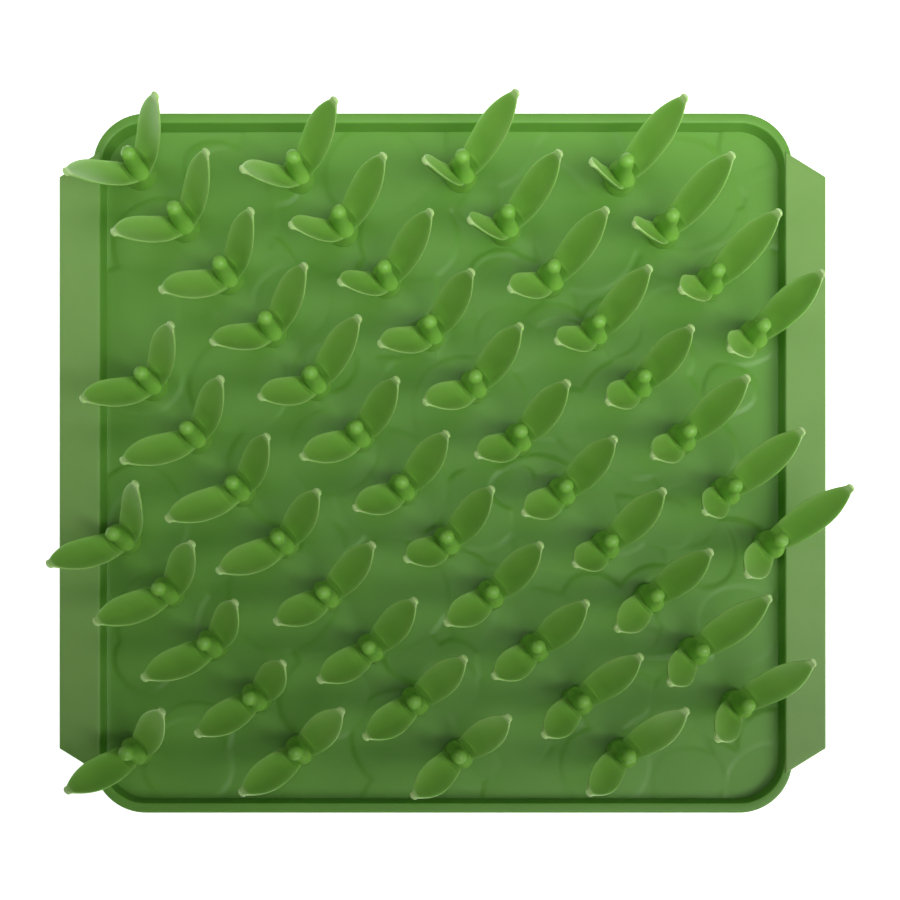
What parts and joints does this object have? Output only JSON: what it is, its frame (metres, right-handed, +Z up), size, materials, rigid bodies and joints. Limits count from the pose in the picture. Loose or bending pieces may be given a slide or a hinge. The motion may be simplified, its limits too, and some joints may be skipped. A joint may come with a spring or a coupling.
{
  "type": "snuffle mat",
  "caption": "Square moulded silicone feeding mat with a low rim, two side grip flanges and rows of two-leaved sprouts that hide dry food.",
  "frame": {"origin": "centre of the flat underside, on the surface that the mat rests on", "axes": "+Z up out of the tray, +X towards the right-hand flange, +Y towards the rim at the top of the picture"},
  "size_m": [0.28, 0.256, 0.0447],
  "materials": {
    "green_silicone": "satin moulded silicone"
  },
  "bodies": {
    "root": {"mat": "green_silicone"}
  },
  "joints": []
}
